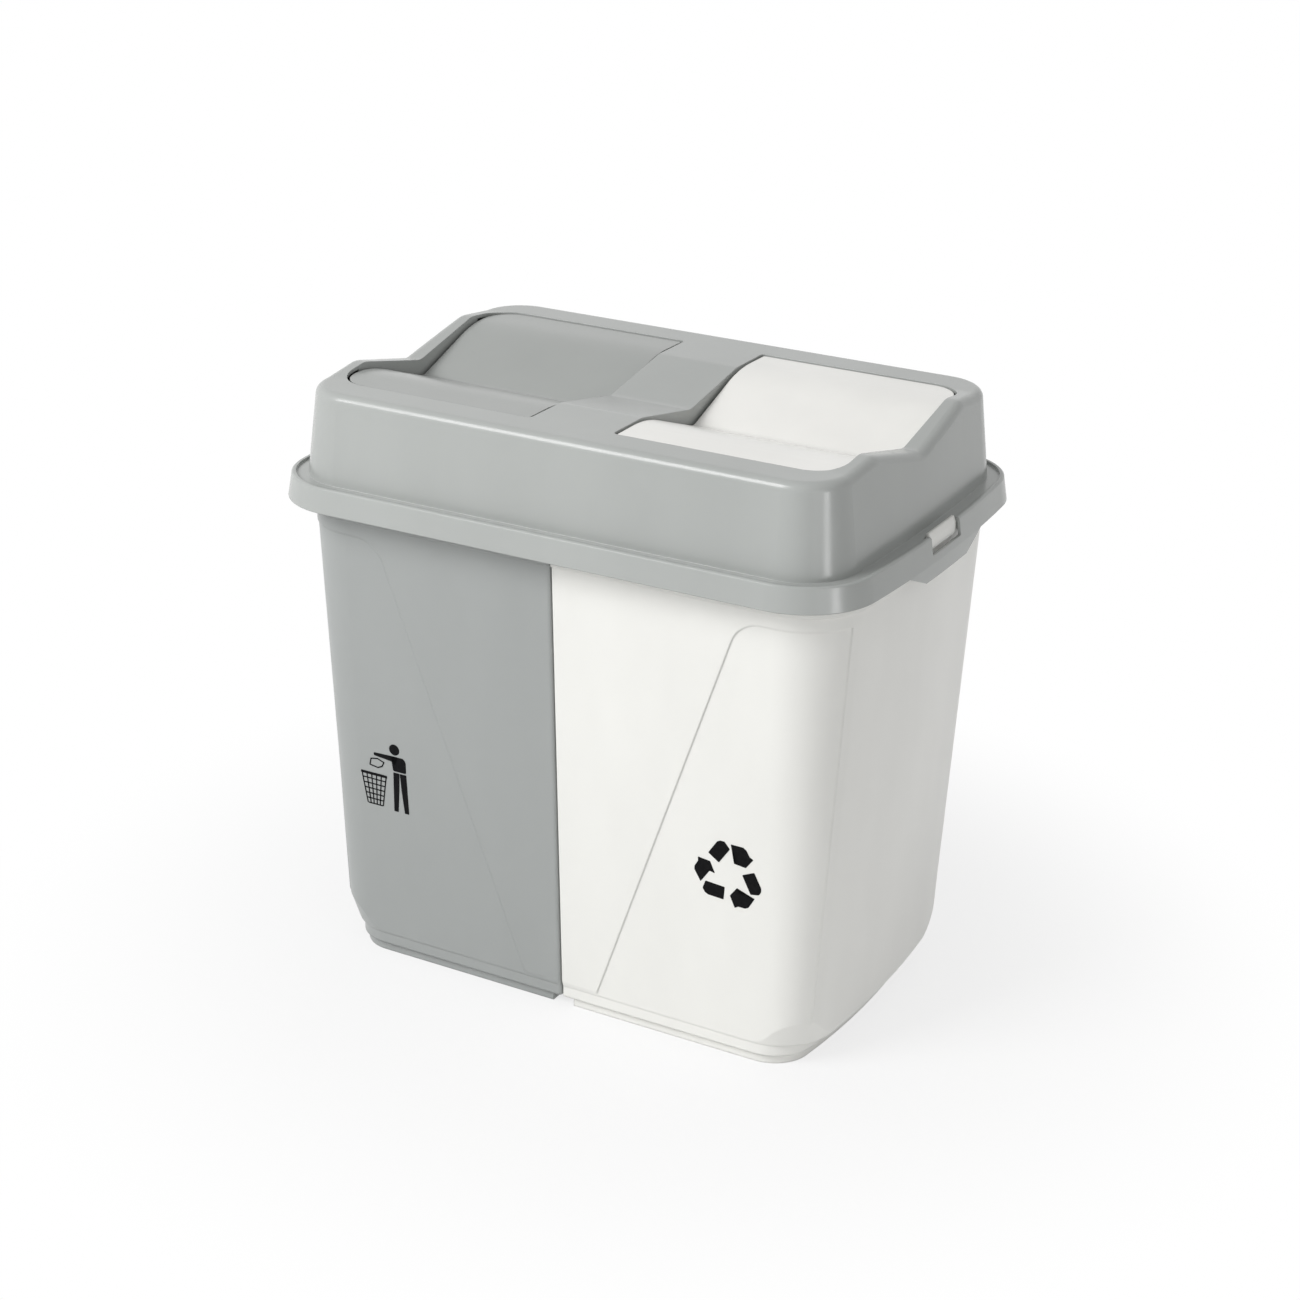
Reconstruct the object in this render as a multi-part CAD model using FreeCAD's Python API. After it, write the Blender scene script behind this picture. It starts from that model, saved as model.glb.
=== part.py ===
import FreeCAD, Part

import math
import os

# Double recycling bin: two drafted buckets side by side under one lid frame,
# with a rocking V-shaped flap over each bucket.
# Millimetres. X runs along the bin, Y from front to back, Z up.
# The origin is on the floor, in the middle of the base.

Vector = FreeCAD.Vector
ORIGIN = Vector(0, 0, 0)
X_AXIS = Vector(1, 0, 0)
Y_AXIS = Vector(0, 1, 0)
Z_AXIS = Vector(0, 0, 1)

# ---------------------------------------------------------------- dimensions
# Lid frame: skirt with a raised ridge around a ledge
SKIRT_LENGTH = 520.0
SKIRT_DEPTH = 358.0
SKIRT_CORNER = 62.0
SKIRT_END_ANGLE = 4.8        # each bowed end turns this far either side
RIDGE_Z = 424.0
SKIRT_HEIGHT = 20.0
SKIRT_DRAFT = 3.3
RIDGE_HEIGHT = 2.0           # above the ledge
RIDGE_WIDTH = 3.4
RIDGE_CHAMFER = 1.0
LID_SKIN = 2.4

# Lid frame: raised wall
WALL_HEIGHT = 72.5           # ledge to the flat rims
WALL_END_INSET = 26.5        # from the skirt, at the height of the flat rims
WALL_FACE_INSET = 24.7
WALL_TOP_CORNER = 37.5
WALL_END_ANGLE = 3.3
WALL_DRAFT = 8.4             # outward lean down to the ledge
TOP_EDGE_ROUND = 7.5
CROWN_SKIN = 3.2             # top and wall are thicker where they meet
CROWN_WALL = 3.4

# Upper surface of the frame, front to back
RIM_LEVEL_Y = 116.0          # where the end rims start to rise from the flat rims
RIM_LEVEL_ROUND = 40.0
END_CREST_RISE = 4.0         # above the flat rims
END_CREST_Y = 79.0
END_VALLEY_DROP = 14.5       # below the flat rims
END_CREST_ROUND = 26.0
END_VALLEY_ROUND = 22.0
BRIDGE_CREST_Y = 78.0
BRIDGE_LAP = 1.0             # bridge runs this far into the rims

# Openings and flaps
OPENING_INNER_X = 36.0       # half the width of the bridge
OPENING_END_RIM = 15.5       # rim between an opening and the wall's end
OPENING_FACE_RIM = 30.8
OPENING_OUTER_CORNER = 28.0
OPENING_INNER_CORNER = 4.0
FLAP_END_GAP = 2.5
FLAP_EDGE_GAP = 2.0
FLAP_INNER_CORNER = 1.5
FLAP_SKIN = 2.2
FLAP_LIP_DEPTH = 14.0
FLAP_LIP_THICKNESS = 2.0
FLAP_EDGE_DROP = 0.9         # below the flat rims
FLAP_CREST_DROP = 0.5
FLAP_VALLEY_DROP = 27.5
FLAP_CREST_Y = 76.5
FLAP_CREST_ROUND = 110.0
FLAP_VALLEY_ROUND = 12.0

# Pivots of the flaps
PIVOT_DROP = 7.5             # pin axis below the valley of the flap
PIN_RADIUS = 4.0
PIN_FIT = 0.06
PIN_REACH = 7.0              # pin beyond the bearing wall's face
PIN_ROOT_LENGTH = 2.0        # pin inside the lip that carries it
BEARING_WALL = 2.2
BEARING_PAD_HALF_WIDTH = 9.0
BEARING_LENGTH = 6.0
BEARING_SLOT = 7.0           # snap-in slot, narrower than the pin
BEARING_HALF_WIDTH = 15.0
BEARING_DROP = 10.5          # wall below the pin axis
BEARING_REACH = 88.0         # half length of the walls beside a flap
BEARING_EDGE_DROP = 9.0      # depth of those walls at their ends

# Pair of buckets, measured over both
BODY_END_INSET = 32.5        # lower edge of the body, in from the skirt
BODY_FACE_INSET = 44.0
BODY_CORNER = 32.0
BODY_END_ANGLE = 6.5
DRAFT_PER_MM = 0.0503        # outward lean of every wall
BUCKET_GAP = 1.2             # between the two split walls
SPLIT_CORNER = 2.5           # rounding of a split wall's upright edges
BUCKET_WALL = 2.2
BUCKET_FLOOR = 2.6
TOP_BAND_HEIGHT = 28.0       # wider band under the rim
TOP_BAND_PROUD = 1.8
RIM_THICKNESS = 2.2
RIM_CLEARANCE = 2.5          # rim edge to the inside of the skirt
LIP_DEPTH = 8.0
LIP_THICKNESS = 2.0

# Foot of the buckets: a low band under rounder heels, on a recessed foot
FOOT_HEIGHT = 8.5
FOOT_INSET = 3.5             # in from the low band
FOOT_SPLIT_INSET = 9.0       # the foot stands back further from the split
LOW_BAND_HEIGHT = 10.0
LOW_BAND_END_INSET = 9.5     # in from the body's lower edge
LOW_BAND_FACE_INSET = 1.8
LOW_BAND_CORNER = 36.0
LOW_BAND_END_ANGLE = 8.0
HEEL_CORNER = 50.0           # corner at the lower edge of the body
HEEL_INSET = 1.2             # flat faces stand back this far at that edge
HEEL_HEIGHT = 28.0           # the heel runs out into the body's own corner
HEEL_FLARE = 9.0

# Sunk panel on the faces of each bucket
PANEL_DEPTH = 0.9
PANEL_FOOT_X = 33.0          # where the slanting edge starts
PANEL_HEAD_X = 161.0         # where it would meet the upper edge
PANEL_TOP_DROP = 11.6        # below the wider band
PANEL_CORNER = 26.0
PANEL_END_INSET = 15.5       # upright edge near the end wall, in from the face

# Latch at each end
LUG_HALF_WIDTH = 24.0
LUG_HEIGHT = 14.0
LUG_RISE = 1.5               # top of the lug above the ridge
LUG_CLEARANCE = 1.5          # lug to the inside of the skirt at its foot
LUG_LEAD_HEIGHT = 4.5        # sloping top of the lug
LUG_LEAD = 2.0
LUG_FOOT_HEIGHT = 3.0
LUG_FOOT_LEAD = 1.0
WINDOW_SIDE_GAP = 2.5
WINDOW_BOTTOM_GAP = 1.5
WINDOW_ROOT_GAP = 1.0
TAB_HEIGHT = 12.5
TAB_HALF_WIDTH = 38.0
TAB_SLOPE = 30.0

# Overshoot of cutting shapes past what they cut
SPARE = 1.0

# Heights that follow from the sizes above
SKIRT_BOTTOM_Z = RIDGE_Z - SKIRT_HEIGHT
TAB_BOTTOM_Z = SKIRT_BOTTOM_Z - TAB_HEIGHT
LEDGE_Z = RIDGE_Z - RIDGE_HEIGHT
RIM_Z = LEDGE_Z + WALL_HEIGHT
END_CREST_Z = RIM_Z + END_CREST_RISE
END_VALLEY_Z = RIM_Z - END_VALLEY_DROP
FLAP_EDGE_Z = RIM_Z - FLAP_EDGE_DROP
FLAP_CREST_Z = RIM_Z - FLAP_CREST_DROP
FLAP_VALLEY_Z = RIM_Z - FLAP_VALLEY_DROP
PIVOT_Z = FLAP_VALLEY_Z - PIVOT_DROP
BUCKET_TOP_Z = LEDGE_Z - LID_SKIN
TOP_BAND_Z = BUCKET_TOP_Z - TOP_BAND_HEIGHT
PANEL_TOP_Z = TOP_BAND_Z - PANEL_TOP_DROP
LUG_TOP_Z = RIDGE_Z + LUG_RISE
LUG_BOTTOM_Z = LUG_TOP_Z - LUG_HEIGHT
HEEL_Z = FOOT_HEIGHT + LOW_BAND_HEIGHT

# Lengths that follow from them
WALL_TOP_LENGTH = SKIRT_LENGTH - 2 * WALL_END_INSET
WALL_TOP_DEPTH = SKIRT_DEPTH - 2 * WALL_FACE_INSET
OPENING_OUTER_X = WALL_TOP_LENGTH / 2 - OPENING_END_RIM
OPENING_HALF_DEPTH = WALL_TOP_DEPTH / 2 - OPENING_FACE_RIM
FLAP_INNER_X = OPENING_INNER_X + FLAP_END_GAP
FLAP_OUTER_X = OPENING_OUTER_X - FLAP_END_GAP
FLAP_HALF_DEPTH = OPENING_HALF_DEPTH - FLAP_EDGE_GAP
BODY_LENGTH = SKIRT_LENGTH - 2 * BODY_END_INSET
BODY_DEPTH = SKIRT_DEPTH - 2 * BODY_FACE_INSET
SPLIT_X = BUCKET_GAP / 2
FOOT_SPLIT_X = SPLIT_X + FOOT_SPLIT_INSET
REACH = SKIRT_LENGTH + RIM_Z


# ------------------------------------------------------------- plan outlines
class Plan:
    """Outline seen from above: flat front and back, bowed ends, round corners."""

    def __init__(self, length, depth, corner, end_angle):
        self.half_length = length / 2
        self.half_depth = depth / 2
        self.corner = corner
        self.end_angle = end_angle
        turn = math.radians(end_angle)
        self.corner_y = self.half_depth - corner
        self.end_radius = corner + self.corner_y / math.sin(turn)
        self.end_x = self.half_length - self.end_radius
        self.corner_x = self.end_x + (self.end_radius - corner) * math.cos(turn)

    def grown(self, amount):
        """Outline moved outward everywhere; the arcs keep their centres."""
        length = 2 * (self.half_length + amount)
        depth = 2 * (self.half_depth + amount)
        return Plan(length, depth, self.corner + amount, self.end_angle)

    def with_corner(self, corner):
        """The same outline with another corner radius; the ends keep their arcs."""
        turn = math.asin((self.half_depth - corner) / (self.end_radius - corner))
        return Plan(2 * self.half_length, 2 * self.half_depth, corner, math.degrees(turn))

    def on_corner(self, angle, z):
        """Point of the +X +Y corner arc, at an angle from the X axis."""
        turn = math.radians(angle)
        return Vector(self.corner_x + self.corner * math.cos(turn),
                      self.corner_y + self.corner * math.sin(turn), z)


def drafted(lower, z0, upper, z1):
    """Solid between two outlines that share their arc centres."""
    def swept(start_angle, centre_x, centre_y, turn):
        line = Part.makeLine(lower.on_corner(start_angle, z0), upper.on_corner(start_angle, z1))
        return line.revolve(Vector(centre_x, centre_y, 0), Z_AXIS, turn)

    angle = lower.end_angle
    low = lower.on_corner(90, z0)
    high = upper.on_corner(90, z1)
    end = swept(angle, lower.end_x, 0, -2 * angle)
    corner = swept(angle, lower.corner_x, lower.corner_y, 90 - angle)
    flat = Part.Face(Part.makePolygon([low, across(low), across(high), high, low]))
    sides = [end, mirrored(end), flat, turned_to_back(flat)]
    for shape in (corner, mirrored(corner)):
        sides += [shape, turned_to_back(shape)]
    caps = []
    for z in (z0, z1):
        edges = [e for side in sides for e in side.Edges if all_at(e, z)]
        caps.append(Part.Face(Part.Wire(Part.__sortEdges__(edges))))
    skin = Part.makeCompound(sides + caps)
    skin.sewShape()
    return Part.makeSolid(skin.Shells[0])


def half_drafted(lower, z0, upper, z1, split_x=SPLIT_X):
    """The +X part of such a solid, with a flat split wall."""
    return drafted(lower, z0, upper, z1).common(box(split_x, REACH, -REACH, REACH, z0, z1))


def softened(solid):
    """The same solid with the upright edges of its split wall rounded."""
    uprights = [e for e in solid.Edges if is_split_corner(e, SPLIT_X)]
    return solid.makeFillet(SPLIT_CORNER, uprights)


def is_split_corner(edge, split_x):
    """True for the upright edges at the front and back of a split wall."""
    at_split = all(abs(v.X - split_x) < 0.01 for v in edge.Vertexes)
    heights = [v.Z for v in edge.Vertexes]
    return at_split and max(heights) - min(heights) > 0.5


def all_at(edge, z):
    return all(abs(v.Z - z) < 0.01 for v in edge.Vertexes)


def across(point):
    return Vector(-point.x, point.y, point.z)


def mirrored(shape):
    return shape.mirror(ORIGIN, X_AXIS)


def turned_to_back(shape):
    return shape.mirror(ORIGIN, Y_AXIS)


def box(x0, x1, y0, y1, z0, z1):
    return Part.makeBox(x1 - x0, y1 - y0, z1 - z0, Vector(x0, y0, z0))


def fused(shapes):
    return shapes[0].multiFuse(shapes[1:]).removeSplitter()


def upright(wire, z1):
    """Prism from a flat closed outline up to height z1."""
    face = Part.Face(wire)
    return face.extrude(Vector(0, 0, z1 - wire.BoundBox.ZMin))


def along_x(points, x0, x1):
    """Prism along X with an outline of (y, z) points."""
    corners = [Vector(x0, y, z) for y, z in points]
    face = Part.Face(Part.makePolygon(corners + [corners[0]]))
    return face.extrude(Vector(x1 - x0, 0, 0))


# ---------------------------------------------------------- front-back curves
def rounded_line(points, rounds):
    """Edges through (y, z) points, each inner corner rounded to its radius."""
    vectors = [Vector(0, y, z) for y, z in points]
    edges = []
    last = vectors[0]
    for i in range(1, len(vectors) - 1):
        here = vectors[i]
        back = (vectors[i - 1] - here).normalize()
        on = (vectors[i + 1] - here).normalize()
        half = back.getAngle(on) / 2
        reach = rounds[i - 1] / math.tan(half)
        start = here + back * reach
        stop = here + on * reach
        centre = here + (back + on).normalize() * (rounds[i - 1] / math.sin(half))
        middle = centre + (here - centre).normalize() * rounds[i - 1]
        edges.append(Part.makeLine(last, start))
        edges.append(Part.Arc(start, middle, stop).toShape())
        last = stop
    edges.append(Part.makeLine(last, vectors[-1]))
    return edges


def both_sides(side, valley):
    """Points from front to back through the valley, given the back half."""
    return [(-y, z) for y, z in reversed(side)] + [(0, valley)] + side


def under_curve(curve, x0, x1, depth=REACH):
    """Prism along X below a rounded front-to-back curve, or a band of it."""
    points, rounds = curve
    upper = rounded_line(points, rounds)
    start = upper[0].Vertexes[0].Point
    stop = upper[-1].Vertexes[-1].Point
    down = Vector(0, 0, -depth)
    if depth < REACH:
        lower = rounded_line([(y, z - depth) for y, z in points], rounds)
    else:
        lower = [Part.makeLine(start + down, stop + down)]
    sides = [Part.makeLine(start, start + down), Part.makeLine(stop, stop + down)]
    face = Part.Face(Part.Wire(Part.__sortEdges__(upper + lower + sides)))
    face.translate(Vector(x0, 0, 0))
    return face.extrude(Vector(x1 - x0, 0, 0))


def frame_curve():
    """Top of the frame: flat rims, and end rims that dip to a valley."""
    side = [(END_CREST_Y, END_CREST_Z), (RIM_LEVEL_Y, RIM_Z), (SKIRT_DEPTH / 2, RIM_Z)]
    rounds = [RIM_LEVEL_ROUND, END_CREST_ROUND, END_VALLEY_ROUND, END_CREST_ROUND, RIM_LEVEL_ROUND]
    return both_sides(side, END_VALLEY_Z), rounds


def bridge_curve():
    """Top of the bridge between the two openings."""
    side = [(BRIDGE_CREST_Y, RIM_Z), (OPENING_HALF_DEPTH + BRIDGE_LAP, RIM_Z)]
    rounds = [END_CREST_ROUND, END_VALLEY_ROUND, END_CREST_ROUND]
    return both_sides(side, END_VALLEY_Z), rounds


def flap_curve():
    """Top of a flap: level strips at front and back, slopes to the valley."""
    side = [(FLAP_CREST_Y, FLAP_CREST_Z), (FLAP_HALF_DEPTH, FLAP_EDGE_Z)]
    rounds = [FLAP_CREST_ROUND, FLAP_VALLEY_ROUND, FLAP_CREST_ROUND]
    return both_sides(side, FLAP_VALLEY_Z), rounds


# -------------------------------------------------------------------- buckets
def body_plan(z):
    """Outline of the pair of buckets at height z."""
    base = Plan(BODY_LENGTH, BODY_DEPTH, BODY_CORNER, BODY_END_ANGLE)
    return base.grown(DRAFT_PER_MM * (z - FOOT_HEIGHT))


def rim_plan():
    """Outline of the pair's rim, a little inside the skirt."""
    return skirt_plan(BUCKET_TOP_Z - RIM_THICKNESS).grown(-LID_SKIN - RIM_CLEARANCE)


def low_band_plan():
    """Outline of the low band, further in at the ends than at the faces."""
    body = body_plan(HEEL_Z)
    return Plan(2 * (body.half_length - LOW_BAND_END_INSET),
                2 * (body.half_depth - LOW_BAND_FACE_INSET),
                LOW_BAND_CORNER, LOW_BAND_END_ANGLE)


def stage(z0, z1, grow=0.0, split_x=SPLIT_X):
    """Stretch of a bucket between two heights, grown or shrunk."""
    return half_drafted(body_plan(z0).grown(grow), z0, body_plan(z1).grown(grow), z1, split_x)


def prism(plan, z0, z1, split_x=SPLIT_X):
    """Upright stretch of a bucket."""
    return half_drafted(plan, z0, plan, z1, split_x)


def heeled_stage(z0, grow=0.0, split_x=SPLIT_X):
    """Body from z0 up to the rim, its corners made rounder towards the floor."""
    low = body_plan(HEEL_Z).with_corner(HEEL_CORNER).grown(grow - HEEL_INSET)
    high = low.grown(HEEL_FLARE)
    top_z = HEEL_Z + HEEL_HEIGHT
    heel = half_drafted(low, HEEL_Z, high, top_z, split_x)
    lower = stage(z0, top_z, grow, split_x).common(heel)
    return fused([lower, stage(top_z, BUCKET_TOP_Z, grow, split_x)])


def panel_region():
    """Space in front of the sunk panel, from its slanting edge outward."""
    low = Vector(PANEL_FOOT_X, 0, HEEL_Z)
    head = Vector(PANEL_HEAD_X, 0, PANEL_TOP_Z)
    back = (low - head).normalize()
    half = back.getAngle(X_AXIS) / 2
    reach = PANEL_CORNER / math.tan(half)
    start = head + back * reach
    stop = head + X_AXIS * reach
    centre = head + (back + X_AXIS).normalize() * (PANEL_CORNER / math.sin(half))
    middle = centre + (head - centre).normalize() * PANEL_CORNER
    corner = Vector(REACH, 0, PANEL_TOP_Z)
    foot = Vector(REACH, 0, HEEL_Z)
    edges = [
        Part.makeLine(low, start),
        Part.Arc(start, middle, stop).toShape(),
        Part.makeLine(stop, corner),
        Part.makeLine(corner, foot),
        Part.makeLine(foot, low),
    ]
    face = Part.Face(Part.Wire(edges))
    face.translate(Vector(0, BODY_DEPTH / 2 - PANEL_END_INSET, 0))
    return face.extrude(Vector(0, REACH, 0))


def lug():
    """Snap lug on the rim at the end of a bucket."""
    face_x = skirt_plan(LUG_BOTTOM_Z).half_length - LID_SKIN - LUG_CLEARANCE
    root_x = rim_plan().half_length - LIP_THICKNESS
    outline = [
        (root_x, LUG_BOTTOM_Z),
        (face_x - LUG_FOOT_LEAD, LUG_BOTTOM_Z),
        (face_x, LUG_BOTTOM_Z + LUG_FOOT_HEIGHT),
        (face_x, LUG_TOP_Z - LUG_LEAD_HEIGHT),
        (face_x - LUG_LEAD, LUG_TOP_Z),
        (root_x, LUG_TOP_Z),
    ]
    points = [Vector(x, -LUG_HALF_WIDTH, z) for x, z in outline]
    face = Part.Face(Part.makePolygon(points + [points[0]]))
    return face.extrude(Vector(0, 2 * LUG_HALF_WIDTH, 0))


def cavity():
    """Inside of the +X bucket, stepped in like its outside."""
    band_z = FOOT_HEIGHT + BUCKET_FLOOR
    body_z = HEEL_Z + BUCKET_FLOOR
    band = low_band_plan().grown(-BUCKET_WALL)
    return fused([
        prism(band.grown(-FOOT_INSET), BUCKET_FLOOR, band_z, FOOT_SPLIT_X + BUCKET_WALL),
        prism(band, band_z, body_z, SPLIT_X + BUCKET_WALL),
        heeled_stage(body_z, -BUCKET_WALL - PANEL_DEPTH, SPLIT_X + BUCKET_WALL),
    ])


def bucket():
    """The +X bucket: foot, low band, heeled body, wider band, rolled rim and lug."""
    low_band = low_band_plan()
    rim_low = BUCKET_TOP_Z - LIP_DEPTH
    channel = prism(rim_plan().grown(-LIP_THICKNESS), rim_low,
                    BUCKET_TOP_Z - RIM_THICKNESS, SPLIT_X + LIP_THICKNESS)
    body = fused([
        prism(low_band.grown(-FOOT_INSET), 0, FOOT_HEIGHT, FOOT_SPLIT_X),
        softened(prism(low_band, FOOT_HEIGHT, HEEL_Z)),
        softened(heeled_stage(HEEL_Z)),
        softened(stage(TOP_BAND_Z, BUCKET_TOP_Z, TOP_BAND_PROUD)),
        prism(rim_plan(), rim_low, BUCKET_TOP_Z).cut(channel),
    ])
    face = stage(HEEL_Z, TOP_BAND_Z, SPARE).cut(stage(HEEL_Z, TOP_BAND_Z, -PANEL_DEPTH))
    panel = face.common(panel_region())
    body = body.cut(panel).cut(turned_to_back(panel)).cut(cavity())
    return fused([body, lug()])


# ------------------------------------------------------------------ lid frame
def skirt_plan(z):
    """Outline of the lid's skirt at height z; upright below its lower edge."""
    bottom = Plan(SKIRT_LENGTH, SKIRT_DEPTH, SKIRT_CORNER, SKIRT_END_ANGLE)
    share = (z - SKIRT_BOTTOM_Z) / (RIDGE_Z - SKIRT_BOTTOM_Z)
    return bottom.grown(-SKIRT_DRAFT * max(share, 0.0))


def wall_plan(z):
    """Outline of the raised wall of the lid at height z."""
    top = Plan(WALL_TOP_LENGTH, WALL_TOP_DEPTH, WALL_TOP_CORNER, WALL_END_ANGLE)
    return top.grown(WALL_DRAFT * (RIM_Z - z) / (RIM_Z - LEDGE_Z))


def raised_block():
    """Raised part of the lid as a solid, with its top edge rounded."""
    block = drafted(wall_plan(BUCKET_TOP_Z), BUCKET_TOP_Z, wall_plan(END_CREST_Z + SPARE),
                    END_CREST_Z + SPARE)
    block = block.common(under_curve(frame_curve(), -REACH, REACH))
    return block.makeFillet(TOP_EDGE_ROUND, [e for e in block.Edges if is_top_edge(e)])


def is_top_edge(edge):
    """True for the edges around the top surface, not across it or down the wall."""
    extent = edge.BoundBox
    runs_down = extent.ZMin < END_VALLEY_Z - SPARE
    furthest_y = max(abs(extent.YMin), abs(extent.YMax))
    crosses = extent.YLength < 0.01 and furthest_y < WALL_TOP_DEPTH / 2 - TOP_EDGE_ROUND
    return not runs_down and not crosses


def raised_shell():
    """Raised part of the lid: thin wall and top, open underneath."""
    inner = drafted(wall_plan(BUCKET_TOP_Z).grown(-LID_SKIN), BUCKET_TOP_Z,
                    wall_plan(END_CREST_Z).grown(-CROWN_WALL), END_CREST_Z)
    side = [(END_CREST_Y, END_CREST_Z), (RIM_LEVEL_Y, RIM_Z), (REACH, RIM_Z)]
    crown = [(y, z - CROWN_SKIN) for y, z in both_sides(side, END_VALLEY_Z)]
    crown += [(REACH, 0), (-REACH, 0)]
    return raised_block().cut(inner.common(along_x(crown, -REACH, REACH)))


def skirt_shell():
    """Skirt with the raised ridge, the ledge inside it and the finger tabs."""
    low = skirt_plan(SKIRT_BOTTOM_Z)
    top = skirt_plan(RIDGE_Z)
    outer = drafted(low, SKIRT_BOTTOM_Z, top, RIDGE_Z)
    outer = outer.makeChamfer(RIDGE_CHAMFER, [e for e in outer.Edges if all_at(e, RIDGE_Z)])
    dish = top.grown(-RIDGE_WIDTH)
    outer = outer.cut(drafted(dish, LEDGE_Z, dish, RIDGE_Z))
    tab = drafted(low, TAB_BOTTOM_Z, low, SKIRT_BOTTOM_Z).common(tab_region())
    inner_low = low.grown(-LID_SKIN)
    inner_top = skirt_plan(BUCKET_TOP_Z).grown(-LID_SKIN)
    inner = drafted(inner_low, SKIRT_BOTTOM_Z, inner_top, BUCKET_TOP_Z)
    tab_inner = drafted(inner_low, TAB_BOTTOM_Z - SPARE, inner_low, SKIRT_BOTTOM_Z)
    return fused([outer.cut(inner), tab.cut(tab_inner)])


def tab_region():
    """Block through both ends of the bin where the skirt drops as a tab."""
    outer_y = TAB_HALF_WIDTH + TAB_SLOPE
    points = [
        (-outer_y, SKIRT_BOTTOM_Z),
        (-TAB_HALF_WIDTH, TAB_BOTTOM_Z),
        (TAB_HALF_WIDTH, TAB_BOTTOM_Z),
        (outer_y, SKIRT_BOTTOM_Z),
    ]
    return along_x(points, -REACH, REACH)


def latch_window():
    """Opening through the skirt and ledge for the lug of the +X bucket."""
    half = LUG_HALF_WIDTH + WINDOW_SIDE_GAP
    root_x = rim_plan().half_length - LIP_THICKNESS - WINDOW_ROOT_GAP
    return box(root_x, REACH, -half, half, LUG_BOTTOM_Z - WINDOW_BOTTOM_GAP,
               RIDGE_Z + SPARE)


def opening_outline(x0, x1, half_depth, inner_corner, outer_corner, z):
    """Plan of an opening or flap: small corners at x0, large ones at x1."""
    edges = []
    for quarter, (side_x, side_y) in enumerate([(1, 1), (-1, 1), (-1, -1), (1, -1)]):
        radius = outer_corner if side_x > 0 else inner_corner
        x = x1 - radius if side_x > 0 else x0 + radius
        centre = Vector(x, side_y * (half_depth - radius), z)
        start = 90 * quarter
        edges.append(Part.makeCircle(radius, centre, Z_AXIS, start, start + 90))
    arcs = list(edges)
    for arc, following in zip(arcs, arcs[1:] + arcs[:1]):
        stop = arc.valueAt(arc.LastParameter)
        start = following.valueAt(following.FirstParameter)
        edges.append(Part.makeLine(stop, start))
    return Part.Wire(Part.__sortEdges__(edges))


def bearing(face_x, outward, surface):
    """Wall with a thick pad for one pin, under the frame's surface."""
    deep = PIVOT_Z - BEARING_DROP
    shallow = RIM_Z - BEARING_EDGE_DROP
    wall = [
        (-BEARING_REACH, END_CREST_Z),
        (-BEARING_REACH, shallow),
        (-BEARING_HALF_WIDTH, deep),
        (BEARING_HALF_WIDTH, deep),
        (BEARING_REACH, shallow),
        (BEARING_REACH, END_CREST_Z),
    ]
    half = BEARING_PAD_HALF_WIDTH
    pad = [(-half, END_CREST_Z), (-half, deep), (half, deep), (half, END_CREST_Z)]
    solids = []
    for outline, thickness in ((wall, BEARING_WALL), (pad, BEARING_LENGTH)):
        ends = sorted((face_x, face_x + outward * thickness))
        solids.append(along_x(outline, ends[0], ends[1]))
    return fused(solids).common(surface)


def pin_bore(face_x, outward):
    """Bore for one pin with a narrower snap-in slot below it."""
    start = Vector(face_x, 0, PIVOT_Z)
    hole = Part.makeCylinder(PIN_RADIUS + PIN_FIT, BEARING_LENGTH, start, X_AXIS * outward)
    ends = sorted((face_x, face_x + outward * BEARING_LENGTH))
    half = BEARING_SLOT / 2
    return hole.fuse(box(ends[0], ends[1], -half, half, PIVOT_Z - BEARING_DROP, PIVOT_Z))


def lid_frame():
    """Skirt, ledge, raised wall, valley-shaped top, openings and bearings."""
    inside = wall_plan(BUCKET_TOP_Z).grown(-LID_SKIN)
    hole = drafted(inside, BUCKET_TOP_Z - SPARE, inside, LEDGE_Z)
    shell = fused([skirt_shell().cut(hole), raised_shell()])

    half = OPENING_HALF_DEPTH
    bridge = under_curve(bridge_curve(), -OPENING_INNER_X, OPENING_INNER_X, LID_SKIN)
    over_bridge = box(-OPENING_INNER_X, OPENING_INNER_X, -half, half, PIVOT_Z, REACH)
    shell = fused([shell.cut(over_bridge), bridge])

    outline = opening_outline(OPENING_INNER_X, OPENING_OUTER_X, half,
                              OPENING_INNER_CORNER, OPENING_OUTER_CORNER, PIVOT_Z)
    opening = upright(outline, REACH)
    shell = shell.cut(opening).cut(mirrored(opening))

    below_frame = under_curve(frame_curve(), -REACH, REACH)
    below_bridge = under_curve(bridge_curve(), -OPENING_INNER_X, OPENING_INNER_X)
    additions = []
    cutters = [latch_window(), mirrored(latch_window())]
    for face_x, outward, surface in ((OPENING_OUTER_X, 1, below_frame),
                                     (OPENING_INNER_X, -1, below_bridge)):
        solid = bearing(face_x, outward, surface)
        bore = pin_bore(face_x, outward)
        additions += [solid, mirrored(solid)]
        cutters += [bore, mirrored(bore)]
    shell = fused([shell] + additions)
    for cutter in cutters:
        shell = shell.cut(cutter)
    return shell


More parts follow.
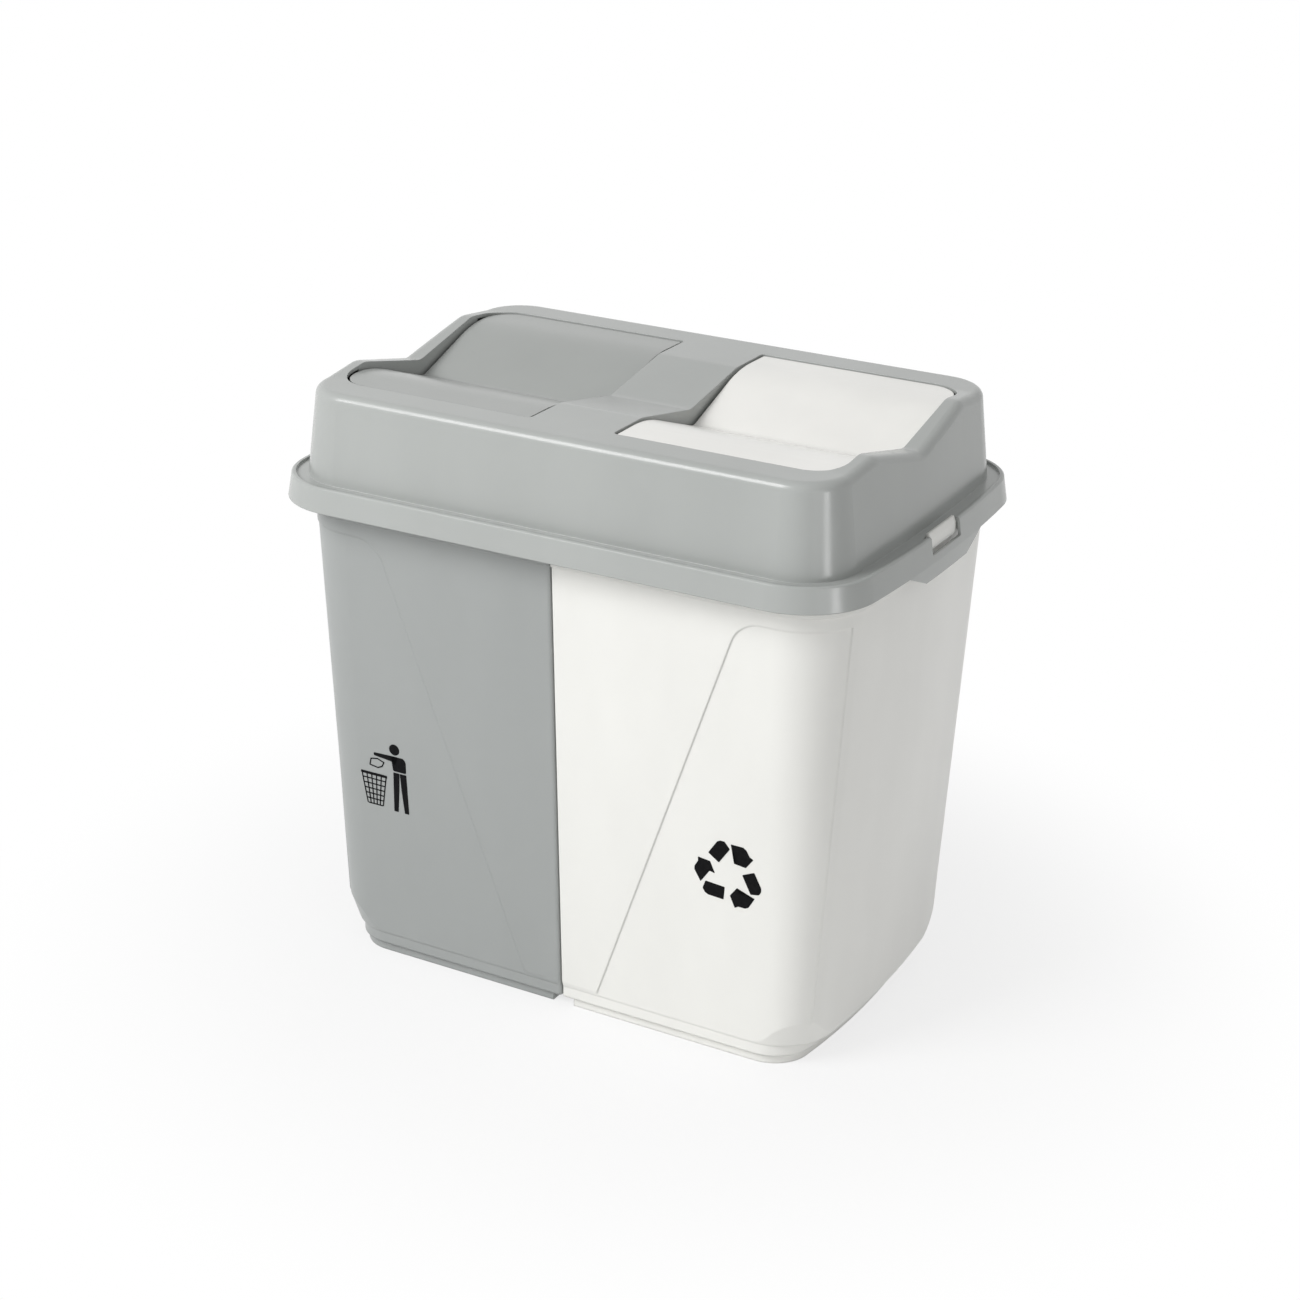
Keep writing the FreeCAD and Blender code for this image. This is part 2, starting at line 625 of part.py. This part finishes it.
# ---------------------------------------------------------------------- flaps
def flap():
    """The +X flap: valley-shaped plate, lip all round, a pin at each end."""
    def plan(inset, inner_corner):
        outer_corner = OPENING_OUTER_CORNER - FLAP_END_GAP - inset
        outline = opening_outline(FLAP_INNER_X + inset, FLAP_OUTER_X - inset,
                                  FLAP_HALF_DEPTH - inset, inner_corner, outer_corner,
                                  FLAP_VALLEY_Z - FLAP_LIP_DEPTH - SPARE)
        return upright(outline, RIM_Z)

    plate = under_curve(flap_curve(), FLAP_INNER_X, FLAP_OUTER_X, FLAP_SKIN)
    lip = under_curve(flap_curve(), FLAP_INNER_X, FLAP_OUTER_X, FLAP_LIP_DEPTH)
    solids = [
        plate.common(plan(0.0, FLAP_INNER_CORNER)),
        lip.common(plan(0.0, FLAP_INNER_CORNER)).cut(plan(FLAP_LIP_THICKNESS, FLAP_INNER_CORNER)),
    ]
    for face_x, outward in ((FLAP_INNER_X, -1), (FLAP_OUTER_X, 1)):
        start = Vector(face_x - outward * PIN_ROOT_LENGTH, 0, PIVOT_Z)
        direction = X_AXIS * outward
        length = PIN_ROOT_LENGTH + FLAP_END_GAP + PIN_REACH
        solids.append(Part.makeCylinder(PIN_RADIUS, length, start, direction))
    return fused(solids)


# --------------------------------------------------------------------- output
def pieces():
    right_bucket = bucket()
    right_flap = flap()
    return {
        "bucket_left": mirrored(right_bucket),
        "bucket_right": right_bucket,
        "lid_frame": lid_frame(),
        "flap_left": mirrored(right_flap),
        "flap_right": right_flap,
    }


os.makedirs("parts", exist_ok=True)
for name, shape in pieces().items():
    shape.exportStep("parts/" + name + ".step")
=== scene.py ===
import math

import bmesh
import bpy
from mathutils import Matrix, Vector


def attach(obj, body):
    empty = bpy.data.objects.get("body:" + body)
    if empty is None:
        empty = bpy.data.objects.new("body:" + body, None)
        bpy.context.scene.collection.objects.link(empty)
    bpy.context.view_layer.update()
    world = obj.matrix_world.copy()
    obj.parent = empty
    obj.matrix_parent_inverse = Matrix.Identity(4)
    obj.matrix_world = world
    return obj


MM = 0.001

# Camera at the photograph's viewing angle: angles in degrees, place in m, lens and sensor in mm.
CAMERA_AZIMUTH = 28.70
CAMERA_ELEVATION = 22.72
CAMERA_ROLL = -1.05
CAMERA_PLACE = (0.9715, -1.7682, 1.1122)
CAMERA_LENS = 73.69
CAMERA_SENSOR = 36.0
CAMERA_REACH = 60.0

# Linear colours of the plastics and the ink.
LID_GREY = (0.405, 0.420, 0.408)
BUCKET_GREY = (0.350, 0.365, 0.359)
FLAP_GREY = (0.360, 0.374, 0.362)
BUCKET_WHITE = (0.840, 0.838, 0.805)
FLAP_WHITE = (0.900, 0.893, 0.860)
PRINT_BLACK = (0.005, 0.005, 0.0055)

# Roughness of the plastics. Each range stays on one side of 0.274: a range that crosses it shows
# as thin contour lines in a denoised render.
LID_ROUGHNESS = (0.225, 0.265)
FLAP_ROUGHNESS = (0.235, 0.268)
BUCKET_GREY_ROUGHNESS = (0.34, 0.40)
BUCKET_WHITE_ROUGHNESS = (0.32, 0.38)

# Radius (m) to which the shading softens an edge.
THIN_EDGE = 0.0010
BUCKET_EDGE = 0.0026
EDGE_SAMPLES = 8

PLASTIC_IOR = 1.49
PLASTIC_SPECULAR = 0.5

# Noise patterns: scale, detail, roughness and stretch.
FLOW_MARKS = (9.0, 3.0, 0.55, (1.0, 1.0, 0.35))
SKIN = (30.0, 1.0, 0.5)
WAVES = (14.0, 1.0)
PORES = (900.0, 0.0)
INK_COVER = (420.0, 3.0, 0.6)
INK_SKIN = (260.0,)

# The part of a noise pattern's values that is spread over a range.
NOISE_LOW = 0.3
NOISE_HIGH = 0.7

# Darkest and lightest flow marks, as a share of the plastic's colour.
FLOW_DARK = 0.962
FLOW_LIGHT = 1.030

# Strength and height (m) of the bumps.
WAVE_BUMP = (0.20, 0.0006)
PORE_BUMP = (0.05, 0.0002)

INK_THIN = 1.9
INK_ROUGHNESS = (0.42, 0.56)
INK_SPECULAR = 0.05

# Front face of the buckets: y is FACE_Y at the height FACE_FROM_Z, and falls by FACE_LEAN for
# each mm above it (mm).
FACE_Y = -134.1
FACE_FROM_Z = 8.5
FACE_LEAN = 0.0503

# How far a printed mark stands out from the face, and how deep it is bedded in it (mm).
PRINT_THICKNESS = 0.22
PRINT_BEDDING = 0.02

# The largest part of a side that the rounding of one corner takes up.
ROUNDED_SHARE = 0.45

# Three chasing arrows, as x, z in mm about their middle: a band and an arrow, used three times.
ARROWS_MIDDLE = (153.6, 164.4)
BAND = [(-8.5, 8.7), (-17.7, 15.2), (-10.2, 26.6), (-7.4, 28.2), (-3.7, 28.2), (1.0, 22.6)]
BAND_ROUNDING = 0.7
ARROW = [
    (1.7, 27.2), (12.4, 27.2), (15.2, 25.4), (18.0, 20.3), (21.2, 18.6),
    (14.8, 10.0), (4.4, 11.2), (7.6, 14.6),
]
ARROW_ROUNDING = 0.5
ARROW_STEPS = 3

# Wire basket: left x, right x and z of its top and foot, and its lines (mm).
BASKET_TOP = (-188.0, -162.2, 169.6)
BASKET_FOOT = (-182.6, -167.6, 141.6)
BASKET_RIM = 2.4
BASKET_RIM_ROUNDING = 0.8
BASKET_WIRES = 6
BASKET_RINGS = 6
WIRE = 1.05
WIRE_INSET = 0.9
RING_INSET = 0.4

# Standing figure and the paper that it drops, as x, z in mm.
PAPER = [
    (-177.2, 183.6), (-170.8, 184.9), (-164.6, 182.6),
    (-166.6, 178.6), (-170.8, 176.6), (-178.6, 177.8),
]
PAPER_LINE = 1.1
PAPER_DOT_POINTS = 10
HEAD_MIDDLE = (-153.6, 196.9)
HEAD_RADIUS = 4.9
TRUNK = [(-157.4, 190.6), (-145.2, 190.6), (-143.0, 187.6), (-143.0, 177.2), (-155.6, 177.2)]
TRUNK_ROUNDING = 1.6
ARM = [
    (-150.0, 190.6), (-157.4, 190.6), (-174.2, 190.0),
    (-174.2, 187.4), (-157.0, 185.6), (-153.6, 182.6),
]
ARM_ROUNDING = 1.2
LEG_BACK = [(-155.6, 175.9), (-149.6, 175.9), (-150.6, 160.0), (-152.4, 139.9), (-156.6, 139.9)]
LEG_FRONT = [(-149.3, 175.9), (-143.0, 175.9), (-142.0, 139.9), (-146.2, 139.9), (-148.3, 160.0)]
LEG_ROUNDING = 0.6

# Floor: from its middle to an edge, and how far it lies below the foot (m).
FLOOR_REACH = 14.0
FLOOR_DROP = 0.0002
FLOOR_COLOUR = (0.86, 0.86, 0.86, 1.0)

# As the camera sees the floor, this share of it is plain white near the object. It rises to
# all of it between two distances from the middle (m).
FLOOR_WHITENESS = 0.74
FLOOR_FADE_FROM = 0.24
FLOOR_FADE_TO = 0.60

WHITE = (1.0, 1.0, 1.0, 1.0)
FULL_WHITE = 1.0
WORLD_FILL = 0.42

# Lamps: name, place (m), point they face (m), width and height (m), power (W), and whether they
# light the surfaces and show in reflections.
LAMPS = (
    ("key", (-1.06, -1.91, 1.94), (0.0, 0.0, 0.35), 1.3, 1.3, 50.0, True, True),
    ("side", (1.80, -1.05, 0.55), (0.22, -0.14, 0.30), 0.9, 0.9, 3.2, True, True),
    ("strip", (1.71, -0.57, 0.25), (0.22, -0.14, 0.44), 0.30, 0.44, 3.2, False, True),
    ("back", (0.0, 2.70, 1.00), (0.0, 0.0, 0.30), 2.6, 1.9, 15.0, True, False),
)

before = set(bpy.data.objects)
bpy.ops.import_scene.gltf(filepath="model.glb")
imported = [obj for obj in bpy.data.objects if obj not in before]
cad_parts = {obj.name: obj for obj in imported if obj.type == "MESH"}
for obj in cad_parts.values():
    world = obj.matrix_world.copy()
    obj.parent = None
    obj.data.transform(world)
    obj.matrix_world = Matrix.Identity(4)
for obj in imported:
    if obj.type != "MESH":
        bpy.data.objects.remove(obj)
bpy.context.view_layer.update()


def in_scene(name, data):
    """A new object in the scene."""
    thing = bpy.data.objects.new(name, data)
    bpy.context.scene.collection.objects.link(thing)
    return thing


# ------------------------------------------------------------------ materials

def noise(tree, scale, detail=2.0, roughness=0.5, stretch=(1.0, 1.0, 1.0)):
    """A noise texture in object space, with its pattern stretched along an axis where asked."""
    place = tree.nodes.new("ShaderNodeTexCoord")
    spread = tree.nodes.new("ShaderNodeMapping")
    spread.inputs["Scale"].default_value = stretch
    pattern = tree.nodes.new("ShaderNodeTexNoise")
    pattern.inputs["Scale"].default_value = scale
    pattern.inputs["Detail"].default_value = detail
    pattern.inputs["Roughness"].default_value = roughness
    tree.links.new(place.outputs["Object"], spread.inputs["Vector"])
    tree.links.new(spread.outputs["Vector"], pattern.inputs["Vector"])
    return pattern.outputs["Fac"]


def ranged(tree, value, low, high):
    """A noise value, spread out to run from low to high."""
    ramp = tree.nodes.new("ShaderNodeMapRange")
    ramp.inputs["From Min"].default_value = NOISE_LOW
    ramp.inputs["From Max"].default_value = NOISE_HIGH
    ramp.inputs["To Min"].default_value = low
    ramp.inputs["To Max"].default_value = high
    tree.links.new(value, ramp.inputs["Value"])
    return ramp.outputs["Result"]


def tinted(tree, factor, colour_a, colour_b):
    """A mix of two colours by a factor."""
    mix = tree.nodes.new("ShaderNodeMix")
    mix.data_type = "RGBA"
    mix.inputs["A"].default_value = (*colour_a, 1.0)
    mix.inputs["B"].default_value = (*colour_b, 1.0)
    tree.links.new(factor, mix.inputs["Factor"])
    return mix.outputs["Result"]


def bumped(tree, height, strength, distance, normal):
    """A layer of bumps laid over a normal."""
    bump = tree.nodes.new("ShaderNodeBump")
    bump.inputs["Strength"].default_value = strength
    bump.inputs["Distance"].default_value = distance
    tree.links.new(height, bump.inputs["Height"])
    tree.links.new(normal, bump.inputs["Normal"])
    return bump.outputs["Normal"]


def scaled(colour, by):
    """A lighter or darker shade of a colour."""
    return tuple(channel * by for channel in colour)


def new_material(name):
    """A material, its node tree and its shader."""
    material = bpy.data.materials.new(name)
    material.use_nodes = True
    tree = material.node_tree
    return material, tree, tree.nodes["Principled BSDF"]


def moulded_plastic(name, colour, roughness, edge):
    """Moulded polypropylene: satin skin, faint flow marks, fine pores and softened edges."""
    material, tree, shader = new_material(name)

    flow = ranged(tree, noise(tree, *FLOW_MARKS), 0.0, 1.0)
    colours = tinted(tree, flow, scaled(colour, FLOW_DARK), scaled(colour, FLOW_LIGHT))
    tree.links.new(colours, shader.inputs["Base Color"])

    skin = ranged(tree, noise(tree, *SKIN), *roughness)
    tree.links.new(skin, shader.inputs["Roughness"])

    shader.inputs["IOR"].default_value = PLASTIC_IOR
    shader.inputs["Specular IOR Level"].default_value = PLASTIC_SPECULAR

    edges = tree.nodes.new("ShaderNodeBevel")
    edges.samples = EDGE_SAMPLES
    edges.inputs["Radius"].default_value = edge
    waves = bumped(tree, noise(tree, *WAVES), *WAVE_BUMP, edges.outputs["Normal"])
    pores = bumped(tree, noise(tree, *PORES), *PORE_BUMP, waves)
    tree.links.new(pores, shader.inputs["Normal"])
    return material


def printed_ink(name, colour):
    """Pad-printed ink: near black, slightly uneven and duller than the plastic."""
    material, tree, shader = new_material(name)
    cover = ranged(tree, noise(tree, *INK_COVER), 0.0, 1.0)
    colours = tinted(tree, cover, colour, scaled(colour, INK_THIN))
    tree.links.new(colours, shader.inputs["Base Color"])
    skin = ranged(tree, noise(tree, *INK_SKIN), *INK_ROUGHNESS)
    tree.links.new(skin, shader.inputs["Roughness"])
    shader.inputs["Specular IOR Level"].default_value = INK_SPECULAR
    return material


PLASTICS = {
    "bucket_left": moulded_plastic(
        "bucket_grey", BUCKET_GREY, BUCKET_GREY_ROUGHNESS, BUCKET_EDGE),
    "bucket_right": moulded_plastic(
        "bucket_white", BUCKET_WHITE, BUCKET_WHITE_ROUGHNESS, BUCKET_EDGE),
    "lid_frame": moulded_plastic("lid_grey", LID_GREY, LID_ROUGHNESS, THIN_EDGE),
    "flap_left": moulded_plastic("flap_grey", FLAP_GREY, FLAP_ROUGHNESS, THIN_EDGE),
    "flap_right": moulded_plastic("flap_white", FLAP_WHITE, FLAP_ROUGHNESS, THIN_EDGE),
}
INK = printed_ink("print_black", PRINT_BLACK)

for node, material in PLASTICS.items():
    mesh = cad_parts[node].data
    mesh.materials.clear()
    mesh.materials.append(material)


# ----------------------------------------------------------------- pictograms

def on_face(x, z, out):
    """The point of the leaning front face at x, z (mm), stood out from it by out (mm)."""
    y = FACE_Y - FACE_LEAN * (z - FACE_FROM_Z) - out
    return Vector((x * MM, y * MM, z * MM))


def disc(x, z, radius, points=40):
    """A round outline."""
    turns = [2 * math.pi * step / points for step in range(points)]
    return [(x + radius * math.cos(turn), z + radius * math.sin(turn)) for turn in turns]


def bar(start, end, width):
    """The outline of a straight bar between two points."""
    along = Vector((end[0] - start[0], end[1] - start[1])).normalized()
    side = Vector((-along.y, along.x)) * width / 2
    return [
        (start[0] + side.x, start[1] + side.y),
        (end[0] + side.x, end[1] + side.y),
        (end[0] - side.x, end[1] - side.y),
        (start[0] - side.x, start[1] - side.y),
    ]


def rounded(corners, radius, steps=5):
    """The outline with its corners rounded off by a short curve."""
    outline = []
    for index, corner in enumerate(corners):
        here = Vector(corner)
        before = Vector(corners[index - 1]) - here
        after = Vector(corners[(index + 1) % len(corners)]) - here
        reach = min(radius, before.length * ROUNDED_SHARE, after.length * ROUNDED_SHARE)
        first = here + before.normalized() * reach
        last = here + after.normalized() * reach
        for step in range(steps + 1):
            t = step / steps
            point = first * (1 - t) ** 2 + here * 2 * t * (1 - t) + last * t ** 2
            outline.append((point.x, point.y))
    return outline


def turned(outline, degrees, middle):
    """The outline turned about the origin and set on its middle."""
    turn = Matrix.Rotation(math.radians(degrees), 2)
    return [tuple(turn @ Vector(point) + Vector(middle)) for point in outline]


def printed(name, outlines, body):
    """One thin printed mark: every outline a low raised pad on the front face."""
    shape = bmesh.new()
    for outline in outlines:
        back = [shape.verts.new(on_face(x, z, -PRINT_BEDDING)) for x, z in outline]
        front = [shape.verts.new(on_face(x, z, PRINT_THICKNESS)) for x, z in outline]
        shape.faces.new(front)
        shape.faces.new(list(reversed(back)))
        for index in range(len(outline)):
            after = (index + 1) % len(outline)
            shape.faces.new((back[index], back[after], front[after], front[index]))
    bmesh.ops.triangulate(shape, faces=[face for face in shape.faces if len(face.verts) > 4])
    bmesh.ops.recalc_face_normals(shape, faces=shape.faces)
    mesh = bpy.data.meshes.new(name)
    shape.to_mesh(mesh)
    shape.free()
    mesh.materials.append(INK)
    mark = in_scene(name, mesh)
    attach(mark, body)


def chasing_arrows():
    """One band and one arrow, turned three times about the middle."""
    band = rounded(BAND, BAND_ROUNDING, ARROW_STEPS)
    arrow = rounded(ARROW, ARROW_ROUNDING, ARROW_STEPS)
    return [
        turned(outline, -120 * third, ARROWS_MIDDLE)
        for third in range(3)
        for outline in (band, arrow)
    ]


def basket():
    """Rim, upright wires and rings of the tapered basket; the last ring is its foot."""
    top_left, top_right, top_z = BASKET_TOP
    foot_left, foot_right, foot_z = BASKET_FOOT
    rim = bar((top_left, top_z), (top_right, top_z), BASKET_RIM)
    parts = [rounded(rim, BASKET_RIM_ROUNDING)]
    for wire in range(BASKET_WIRES):
        t = wire / (BASKET_WIRES - 1)
        top_x = top_left + WIRE_INSET + t * (top_right - top_left - 2 * WIRE_INSET)
        foot_x = foot_left + t * (foot_right - foot_left)
        parts.append(bar((top_x, top_z), (foot_x, foot_z), WIRE))
    for ring in range(1, BASKET_RINGS + 1):
        t = ring / BASKET_RINGS
        z = top_z + t * (foot_z - top_z)
        left = top_left + t * (foot_left - top_left) + RING_INSET
        right = top_right + t * (foot_right - top_right) - RING_INSET
        parts.append(bar((left, z), (right, z), WIRE))
    return parts


def paper():
    """The paper's outline, drawn as a line with round corners."""
    bars = [bar(PAPER[i - 1], PAPER[i], PAPER_LINE) for i in range(len(PAPER))]
    return bars + [disc(x, z, PAPER_LINE / 2, PAPER_DOT_POINTS) for x, z in PAPER]


def standing_figure():
    """A plain figure that reaches over the basket."""
    return [
        disc(*HEAD_MIDDLE, HEAD_RADIUS),
        rounded(TRUNK, TRUNK_ROUNDING),
        rounded(ARM, ARM_ROUNDING),
        rounded(LEG_BACK, LEG_ROUNDING),
        rounded(LEG_FRONT, LEG_ROUNDING),
    ]


printed("sign_three_arrows", chasing_arrows(), "bucket_right")
printed("sign_figure_and_basket", basket() + paper() + standing_figure(), "bucket_left")


# ------------------------------------------------------------ floor and light

def seen_by(tree, *kinds):
    """1 for rays of any of these kinds, 0 for all others."""
    rays = tree.nodes.new("ShaderNodeLightPath")
    seen = rays.outputs[kinds[0]]
    for kind in kinds[1:]:
        either = tree.nodes.new("ShaderNodeMath")
        either.operation = "MAXIMUM"
        tree.links.new(seen, either.inputs[0])
        tree.links.new(rays.outputs[kind], either.inputs[1])
        seen = either.outputs["Value"]
    return seen


def mixed(tree, factor, first, second):
    """A mix of two shaders by a factor."""
    mix = tree.nodes.new("ShaderNodeMixShader")
    tree.links.new(factor, mix.inputs["Fac"])
    tree.links.new(first, mix.inputs[1])
    tree.links.new(second, mix.inputs[2])
    return mix.outputs["Shader"]


def backdrop(tree, strength):
    """A plain white background of some strength."""
    plain_white = tree.nodes.new("ShaderNodeBackground")
    plain_white.inputs["Color"].default_value = WHITE
    plain_white.inputs["Strength"].default_value = strength
    return plain_white.outputs["Background"]


def pale_floor():
    """A wide pale floor that fades to plain white away from the object and keeps its shadow."""
    shape = bmesh.new()
    bmesh.ops.create_grid(shape, x_segments=1, y_segments=1, size=FLOOR_REACH)
    mesh = bpy.data.meshes.new("floor")
    shape.to_mesh(mesh)
    shape.free()
    floor = in_scene("floor", mesh)
    floor.location.z = -FLOOR_DROP

    material = bpy.data.materials.new("floor")
    material.use_nodes = True
    tree = material.node_tree
    tree.nodes.clear()
    place = tree.nodes.new("ShaderNodeTexCoord")
    distance = tree.nodes.new("ShaderNodeVectorMath")
    distance.operation = "LENGTH"
    tree.links.new(place.outputs["Object"], distance.inputs[0])
    whiteness = tree.nodes.new("ShaderNodeMapRange")
    whiteness.interpolation_type = "SMOOTHSTEP"
    whiteness.inputs["From Min"].default_value = FLOOR_FADE_FROM
    whiteness.inputs["From Max"].default_value = FLOOR_FADE_TO
    whiteness.inputs["To Min"].default_value = FLOOR_WHITENESS
    tree.links.new(distance.outputs["Value"], whiteness.inputs["Value"])
    matt = tree.nodes.new("ShaderNodeBsdfDiffuse")
    matt.inputs["Color"].default_value = FLOOR_COLOUR
    white = tree.nodes.new("ShaderNodeEmission")
    white.inputs["Strength"].default_value = FULL_WHITE
    surface, glow = matt.outputs["BSDF"], white.outputs["Emission"]
    faded = mixed(tree, whiteness.outputs["Result"], surface, glow)
    seen = seen_by(tree, "Is Camera Ray", "Is Glossy Ray")
    out = tree.nodes.new("ShaderNodeOutputMaterial")
    tree.links.new(mixed(tree, seen, surface, faded), out.inputs["Surface"])
    mesh.materials.append(material)


def studio_world():
    """White to the camera, glossy and transmission rays; a plain soft fill to the rest."""
    world = bpy.data.worlds.new("studio")
    bpy.context.scene.world = world
    world.use_nodes = True
    tree = world.node_tree
    tree.nodes.clear()
    seen = seen_by(tree, "Is Camera Ray", "Is Glossy Ray", "Is Transmission Ray")
    sky = mixed(tree, seen, backdrop(tree, WORLD_FILL), backdrop(tree, FULL_WHITE))
    out = tree.nodes.new("ShaderNodeOutputWorld")
    tree.links.new(sky, out.inputs["Surface"])


def softbox(name, place, aim, width, height, power, diffuse, gloss):
    """A soft area lamp that faces a point; it lights the surfaces, shows in gloss, or both."""
    lamp = bpy.data.lights.new(name, "AREA")
    lamp.shape = "RECTANGLE"
    lamp.size = width
    lamp.size_y = height
    lamp.energy = power
    holder = in_scene(name, lamp)
    holder.location = place
    facing = Vector(aim) - Vector(place)
    holder.rotation_euler = facing.to_track_quat("-Z", "Y").to_euler()
    holder.visible_camera = False
    holder.visible_diffuse = diffuse
    holder.visible_glossy = gloss


def photo_camera():
    """The camera at the photograph's viewing angle."""
    azimuth = math.radians(CAMERA_AZIMUTH)
    elevation = math.radians(CAMERA_ELEVATION)
    roll = math.radians(CAMERA_ROLL)
    ahead = Vector((
        -math.sin(azimuth) * math.cos(elevation),
        math.cos(azimuth) * math.cos(elevation),
        -math.sin(elevation),
    ))
    right = Vector((math.cos(azimuth), math.sin(azimuth), 0.0))
    down = ahead.cross(right)
    level = math.cos(roll) * right + math.sin(roll) * down
    plumb = -math.sin(roll) * right + math.cos(roll) * down
    data = bpy.data.cameras.new("camera")
    data.sensor_width = CAMERA_SENSOR
    data.lens = CAMERA_LENS
    data.clip_end = CAMERA_REACH
    camera = in_scene("camera", data)
    axes = Matrix((level, -plumb, -ahead)).transposed()
    camera.matrix_world = Matrix.Translation(CAMERA_PLACE) @ axes.to_4x4()
    bpy.context.scene.camera = camera


pale_floor()
studio_world()
for lamp in LAMPS:
    softbox(*lamp)
photo_camera()
bpy.context.scene.view_settings.view_transform = "Standard"


# ----------------------------------------------------------------------- view layer update

bpy.context.view_layer.update()
